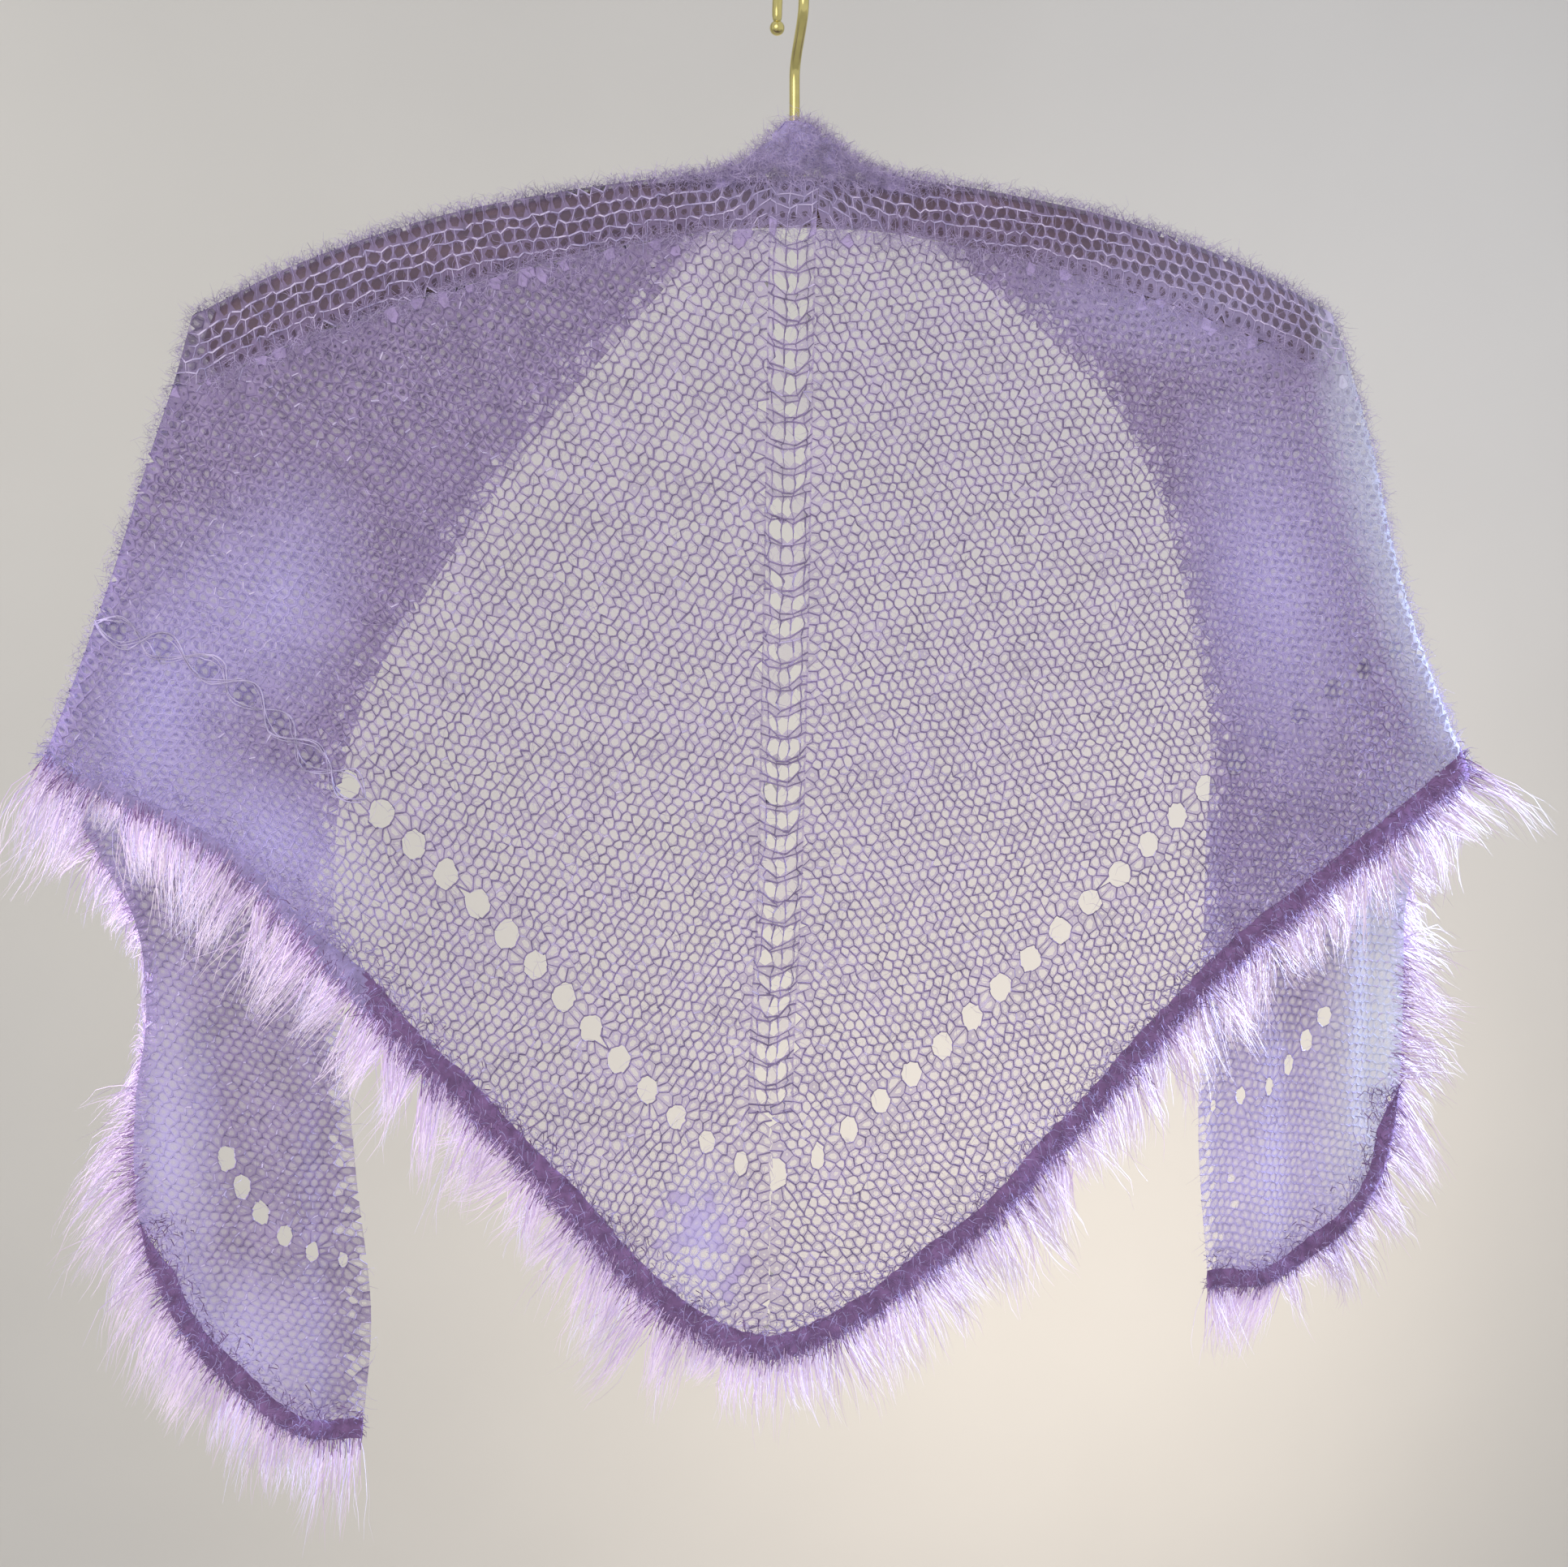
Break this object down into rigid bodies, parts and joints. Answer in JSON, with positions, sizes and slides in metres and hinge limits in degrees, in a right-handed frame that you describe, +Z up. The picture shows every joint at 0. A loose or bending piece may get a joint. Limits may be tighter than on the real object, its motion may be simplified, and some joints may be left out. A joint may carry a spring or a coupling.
{
  "type": "triangular knitted shawl on a coat hanger",
  "caption": "Triangular see-through knitted shawl with eyelet rows and a furry lower edge, draped over a wooden hanger with a wire hook.",
  "frame": {"origin": "the hook's inner top, where the hanger hangs on a rail", "axes": "+Z up; the back panel faces -Y and the two front flaps hang on the +Y side of the hanger's bar, which runs along X"},
  "size_m": [0.6178, 0.0633, 0.6036],
  "materials": {
    "mohair_net": "open lilac mohair knit with a soft halo",
    "fur_trim": "pale lilac eyelash fur on a darker plum band",
    "hanger_wood": "dark brown satin lacquer",
    "hook_wire": "polished"
  },
  "bodies": {
    "root": {"back_panel": "mohair_net", "front_flap_left": "mohair_net", "front_flap_right": "mohair_net", "fur_hem_back": "fur_trim", "fur_hem_left": "fur_trim", "fur_hem_right": "fur_trim", "hanger_bar": "hanger_wood", "hanger_hook": "hook_wire"}
  },
  "joints": []
}
